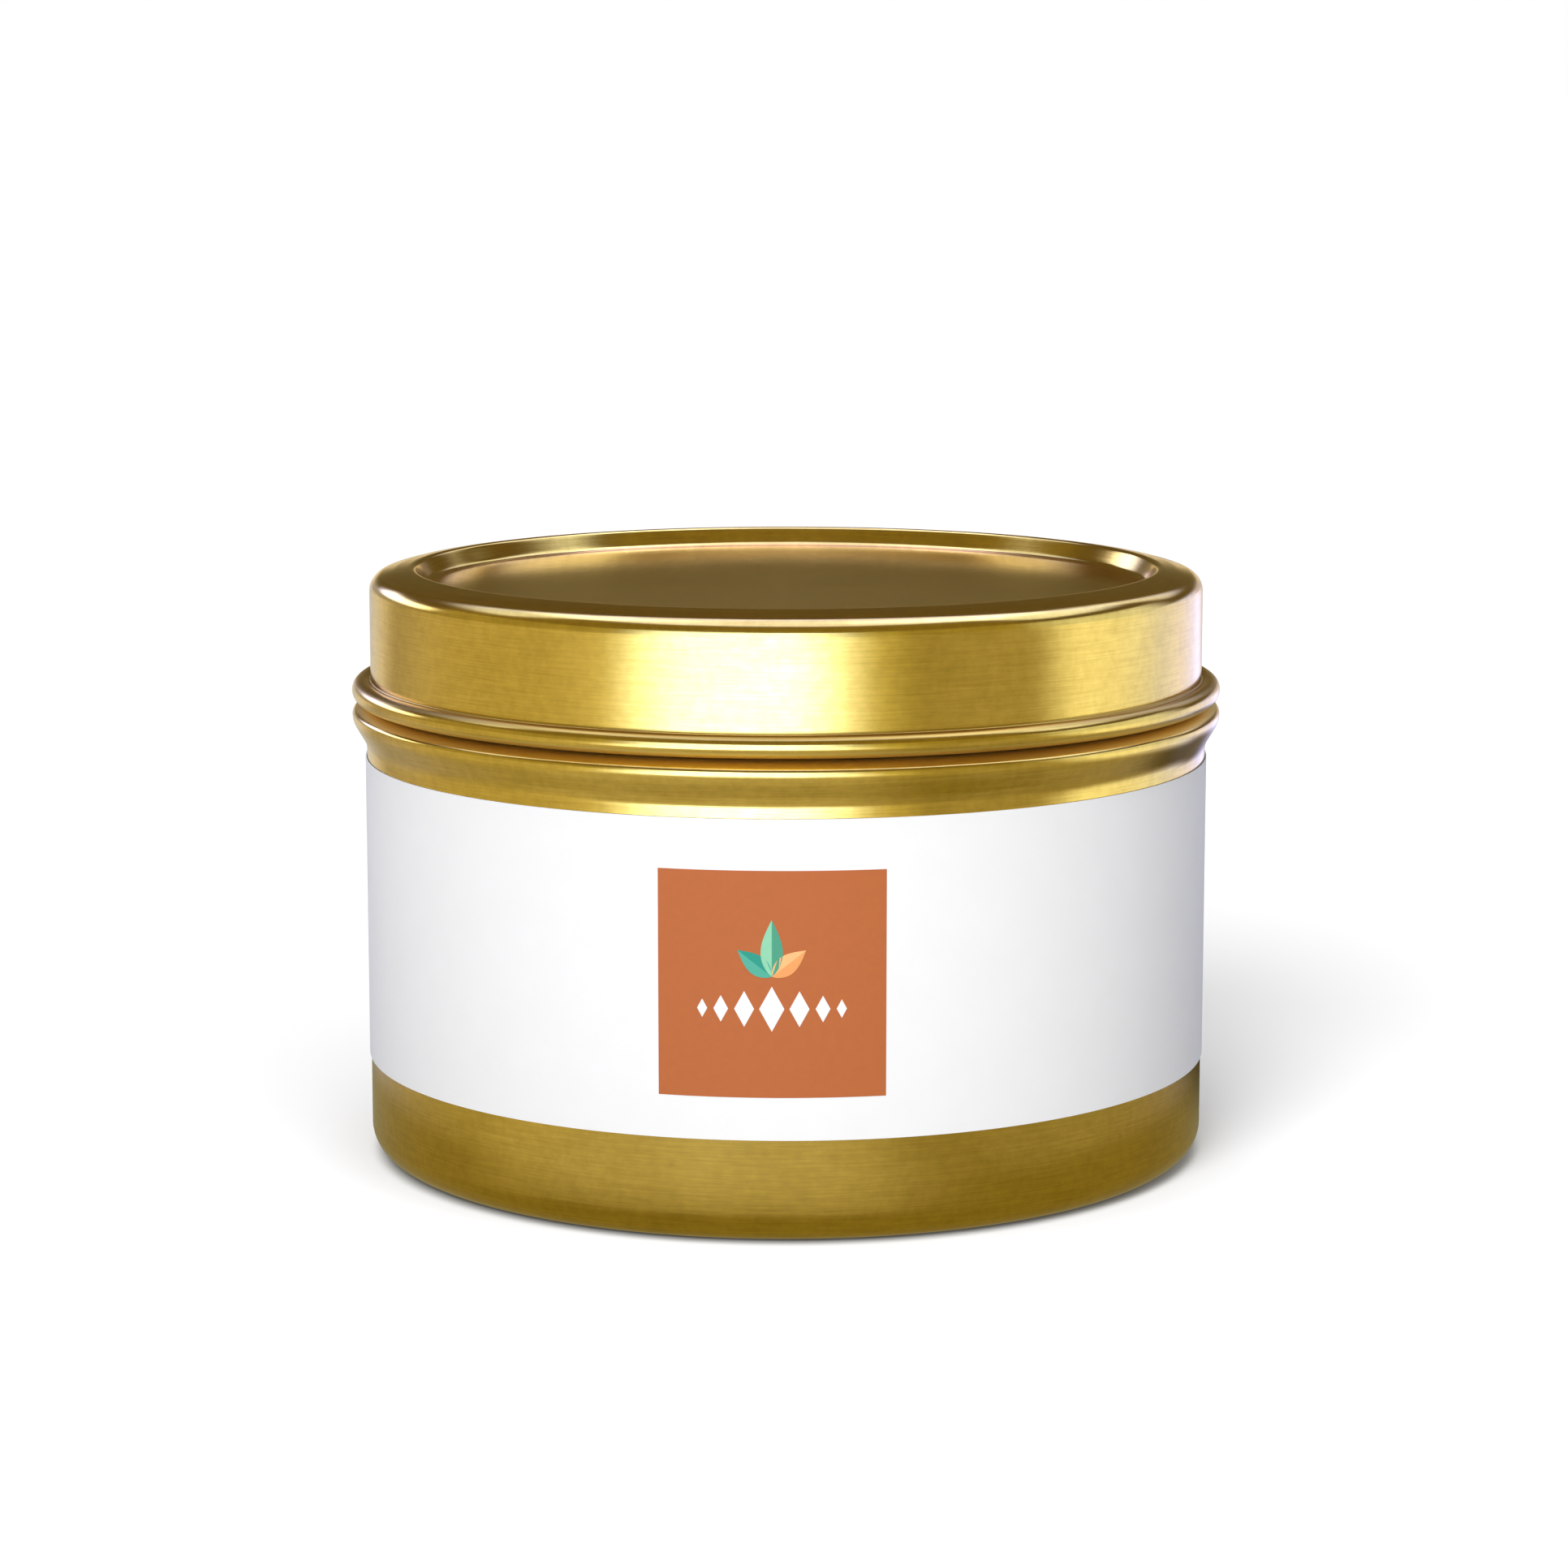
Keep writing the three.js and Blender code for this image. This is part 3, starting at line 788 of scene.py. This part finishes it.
def studio_world():
    """White to the eye, a faint even glow on matt surfaces, and a lit room in reflections."""
    world = bpy.data.worlds.new("studio")
    world.use_nodes = True
    world.cycles.sampling_method = "NONE"
    bpy.context.scene.world = world
    nodes = world.node_tree.nodes
    links = world.node_tree.links
    nodes.clear()
    mirrored = background(nodes, (1, 1, 1))
    links.new(mirrored_room(nodes, links), mirrored.inputs["Color"])
    even = background(nodes, (1, 1, 1), DIFFUSE_AMBIENT)
    white = background(nodes, (1, 1, 1))
    rays = nodes.new("ShaderNodeLightPath")
    first = nodes.new("ShaderNodeMixShader")
    links.new(rays.outputs["Is Glossy Ray"], first.inputs["Fac"])
    links.new(even.outputs[0], first.inputs[1])
    links.new(mirrored.outputs[0], first.inputs[2])
    second = nodes.new("ShaderNodeMixShader")
    links.new(rays.outputs["Is Camera Ray"], second.inputs["Fac"])
    links.new(first.outputs[0], second.inputs[1])
    links.new(white.outputs[0], second.inputs[2])
    links.new(second.outputs[0], nodes.new("ShaderNodeOutputWorld").inputs["Surface"])


def glowing_floor(name, base, panels):
    """A floor that gives off light of its own, by the direction and the distance from the axis."""
    material, nodes, links = new_material(name)
    nodes.remove(nodes["Principled BSDF"])
    material.cycles.emission_sampling = "NONE"
    coords = nodes.new("ShaderNodeTexCoord").outputs["Object"]
    split = nodes.new("ShaderNodeSeparateXYZ")
    links.new(coords, split.inputs[0])
    x, y, _ = split.outputs
    azimuth = azimuth_of(nodes, links, x, y)
    reach = nodes.new("ShaderNodeVectorMath")
    reach.operation = "LENGTH"
    links.new(coords, reach.inputs[0])
    room = base
    for _, across, edge, (start, full), radiance in panels:
        sides = window(nodes, links, azimuth, *across, edge)
        out = ramp_node(nodes, links, reach.outputs["Value"], start, full, 0.0, 1.0)
        room = add_light(nodes, links, room, both(nodes, links, sides, out), radiance)
    glow = nodes.new("ShaderNodeEmission")
    links.new(room, glow.inputs["Color"])
    links.new(glow.outputs[0], nodes["Material Output"].inputs["Surface"])
    return material


def sun(name, azimuth, elevation, spread, strength):
    """A distant soft light that only matt surfaces see."""
    lamp = bpy.data.lights.new(name, "SUN")
    lamp.angle = math.radians(spread)
    lamp.energy = strength
    light = bpy.data.objects.new(name, lamp)
    across = math.radians(azimuth)
    up = math.radians(elevation)
    aim = Vector((math.sin(across) * math.cos(up), -math.cos(across) * math.cos(up), math.sin(up)))
    light.rotation_euler = aim.to_track_quat("Z", "Y").to_euler()
    light.visible_camera = False
    light.visible_glossy = False
    bpy.context.scene.collection.objects.link(light)


def floor_plane(name, material, drop):
    side = FLOOR_SIDE
    corners = [(-side, -side, 0), (side, -side, 0), (side, side, 0), (-side, side, 0)]
    mesh = bpy.data.meshes.new(name)
    mesh.from_pydata(corners, [], [(0, 1, 2, 3)])
    mesh.materials.append(material)
    plane = bpy.data.objects.new(name, mesh)
    plane.location.z = -drop
    bpy.context.scene.collection.objects.link(plane)
    return plane


def floors():
    """The floor that shows, the floor that the metal mirrors, and the floor that lights the label."""
    matt = floor_plane("studio_floor", floor_matt(), SHOWN_DROP)
    matt.visible_glossy = False
    matt.visible_diffuse = False
    mirrored_glow = glowing_floor("floor_mirrored", FLOOR_ROOM, FLOOR_PANELS)
    mirrored = floor_plane("mirrored_floor", mirrored_glow, MIRRORED_DROP)
    mirrored.visible_diffuse = False
    bounce_glow = glowing_floor("floor_bounce", BOUNCE, BOUNCE_PANELS)
    bounce = floor_plane("bounce_floor", bounce_glow, BOUNCE_DROP)
    bounce.visible_glossy = False
    for glowing in (mirrored, bounce):
        glowing.visible_camera = False
        glowing.visible_shadow = False
        glowing.visible_transmission = False


def camera():
    data = bpy.data.cameras.new("camera")
    data.lens = CAMERA_LENS
    data.sensor_width = CAMERA_SENSOR
    data.clip_start = 0.01
    view = bpy.data.objects.new("camera", data)
    view.location = CAMERA_PLACE
    view.rotation_euler = (math.radians(90 - CAMERA_DOWN), 0, math.radians(CAMERA_TURN))
    bpy.context.scene.collection.objects.link(view)
    bpy.context.scene.camera = view


# ---------------------------------------------------------------- the candle inside

def wax_outline(level):
    """The wax, from the centre of its top out to the wall and back to the centre below."""
    wall = WALL_RADIUS - SHEET - POUR_GAP
    corner = WALL_RADIUS - BASE_CORNER
    floor_height = BASE_PANEL_LIFT + SHEET + POUR_GAP
    ring = SHEET + POUR_GAP
    top = [(r, level) for r in WAX_RINGS]
    creep = []
    for i in range(WAX_CREEP_STEPS + 1):
        t = i / WAX_CREEP_STEPS
        creep.append((wall - MENISCUS_RUN * (1 - t), level + MENISCUS_RISE * t**3))
    below = [
        *arc(corner, BASE_CORNER, BASE_CORNER - SHEET - POUR_GAP, 0, -90),
        (STAND_RING_INNER, ring),
        (STAND_RING_INNER - BASE_STEP_RUN, floor_height),
        (0, floor_height),
    ]
    return top + creep + below


def wax_ripple(level):
    """Small heights of the cooled top: waves, a dip, and a climb up the wick."""
    def lift(radius, height, angle):
        if height < level - HALF_SHEET:
            return 0.0
        x = radius * math.cos(angle)
        y = radius * math.sin(angle)
        wave = WAX_WAVE * math.sin(0.21 * x + 1.3) * math.cos(0.17 * y - 0.4)
        sink = WAX_SINK * math.exp(-((radius / SINK_REACH) ** 2))
        climb = WAX_CLIMB * math.exp(-((radius / CLIMB_REACH) ** 2))
        return wave - sink + climb
    return lift


def braided_wick(foot, tip, radius, material):
    """A round braid: half the strands wind each way and pass over and under one another."""
    verts = []
    faces = []
    strand = radius * STRAND_SHARE
    track = radius - strand
    turns = (tip - foot) / WICK_TWIST
    steps = int(turns * STRAND_STEPS_PER_TURN)
    crossings = WICK_STRANDS / 2
    for s in range(WICK_STRANDS):
        way = 1 if s % 2 == 0 else -1
        first = 2 * math.pi * (s // 2) / crossings
        path = []
        for i in range(steps + 1):
            turn = 2 * math.pi * turns * i / steps
            angle = first + way * turn
            weave = way * math.sin(crossings * turn + (s // 2) * math.pi)
            reach = track + WEAVE_SHARE * strand * weave
            height = foot + (tip - foot) * i / steps
            path.append(Vector((reach * math.sin(angle), -reach * math.cos(angle), height)))
        add_tube(verts, faces, path, strand)
    return new_piece("braided_wick", verts, faces, material, smooth_angle=60)


def add_tube(verts, faces, path, radius):
    """Adds a round tube along a path in mm, with closed ends."""
    start = len(verts)
    for i, place in enumerate(path):
        ahead = path[min(i + 1, len(path) - 1)] - path[max(i - 1, 0)]
        ahead.normalize()
        side = ahead.cross(Vector((place.x, place.y, 0))).normalized()
        out = side.cross(ahead)
        for k in range(STRAND_SIDES):
            angle = 2 * math.pi * k / STRAND_SIDES
            verts.append((place + (side * math.cos(angle) + out * math.sin(angle)) * radius) * MM)
    for i in range(len(path) - 1):
        for k in range(STRAND_SIDES):
            a = start + i * STRAND_SIDES + k
            b = start + i * STRAND_SIDES + (k + 1) % STRAND_SIDES
            faces.append((a, b, b + STRAND_SIDES, a + STRAND_SIDES))
    faces.append(tuple(range(start + STRAND_SIDES - 1, start - 1, -1)))
    end = start + (len(path) - 1) * STRAND_SIDES
    faces.append(tuple(range(end, end + STRAND_SIDES)))


def tab_outline(low, high, disc):
    """A stamped disc that turns up into a neck."""
    neck = TAB_BORE + TAB_SHEET / 2
    flat = low + TAB_SHEET / 2
    middle = [
        (disc, flat),
        *arc(neck + TAB_FILLET, flat + TAB_FILLET, TAB_FILLET, 270, 180),
        (neck, high),
    ]
    return sheet_outline(middle, TAB_SHEET)


# ---------------------------------------------------------------- assembly

def place(piece, body, slot, *nodes):
    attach(piece, body)
    if nodes:
        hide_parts(*nodes)


def height_range(node):
    low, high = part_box(node)
    return low.z / MM, high.z / MM


def outer_radius(node):
    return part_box(node)[1].x / MM


def disc_outline(node):
    """Outline of a flat disc as wide and as thick as a node."""
    low, high = height_range(node)
    radius = outer_radius(node)
    return [(0, low), (radius, low), (radius, high), (0, high)]


def print_label(face):
    """The print on the label's outer face: a square, a row of lozenges and a leaf sprig."""
    orange = printing_ink("orange_ink", ORANGE)
    white_ink = printing_ink("white_ink", WHITE, spread=0.02)
    square = rectangle(PRINT_OFFSET - PRINT_SIDE / 2, PRINT_LOW, PRINT_SIDE, PRINT_SIDE)
    place(ink("print_square", [square], face, INK_LIFT, orange), "tin", "label_paper")
    lozenges = []
    for offset, tall in FRIEZE:
        for side in ((1, -1) if offset else (1,)):
            along = PRINT_OFFSET + side * offset
            lozenges.append(lozenge(along, FRIEZE_HEIGHT, LOZENGE_WIDTH * tall, tall))
    place(ink("print_frieze", lozenges, face, 2 * INK_LIFT, white_ink), "tin", "label_paper")
    for leaf, length, width, lean, dark, light in LEAVES:
        for side, tone, colour in ((-1, "light", light), (1, "dark", dark)):
            outline = half_leaf(SPRIG_FOOT, length, width, lean, side)
            tint = printing_ink(f"ink_{leaf}_{tone}", colour)
            half = ink(f"leaf_{leaf}_{tone}", [outline], face, 2 * INK_LIFT, tint)
            place(half, "tin", "label_paper")


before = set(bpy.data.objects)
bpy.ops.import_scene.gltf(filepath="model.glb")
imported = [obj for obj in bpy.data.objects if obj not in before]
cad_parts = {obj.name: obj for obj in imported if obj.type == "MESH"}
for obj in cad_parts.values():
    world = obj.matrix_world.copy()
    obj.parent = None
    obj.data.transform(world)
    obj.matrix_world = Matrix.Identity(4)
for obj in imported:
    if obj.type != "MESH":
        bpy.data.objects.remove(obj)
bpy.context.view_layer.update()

paper = label_paper()
can_gold = brushed_gold("can_gold", CAN_ZONES)
can = turned("tin_can", sheet_outline(can_middle(), SHEET), can_gold)
place(can, "tin", "gold_tinplate", "tin_body")
can.visible_diffuse = False

lid_top = height_range("lid")[1]
lid_gold = brushed_gold("lid_gold", LID_ZONES)
lid = turned("slip_lid", sheet_outline(lid_middle(lid_top), SHEET), lid_gold)
place(lid, "lid", "gold_tinplate", "lid")
lid.visible_diffuse = False

label_low, label_high = height_range("wrap_label")
label_inner = outer_radius("wrap_label") - PAPER
wrap = wrap_label(label_low, label_high, label_inner, paper)
place(wrap, "tin", "label_paper", "wrap_label")

print_label(label_inner + PAPER)

sticker = turned("base_sticker", disc_outline("base_label"), paper)
place(sticker, "tin", "label_paper", "base_label")

wax_level = height_range("wax_fill")[1] - MENISCUS_RISE
wax = turned("poured_wax", wax_outline(wax_level), soy_wax(), bend=wax_ripple(wax_level))
place(wax, "tin", "wax", "wax_fill")

wick_foot, wick_tip = height_range("wick")
wick = braided_wick(wick_foot, wick_tip, outer_radius("wick"), wick_cotton())
place(wick, "tin", "wick_cotton", "wick")

tab_low, tab_high = height_range("wick_tab")
tab_shape = tab_outline(tab_low, tab_high, outer_radius("wick_tab"))
tab = turned("sustainer_tab", tab_shape, tab_steel(), steps=SMALL_STEPS)
place(tab, "tin", "tab_steel", "wick_tab")

pad = turned("foam_pad", disc_outline("wick_pad"), pad_foam(), steps=SMALL_STEPS)
place(pad, "tin", "pad_foam", "wick_pad")

floors()
studio_world()
for row in SUNS:
    sun(*row)
camera()
bpy.context.scene.view_settings.view_transform = "Standard"
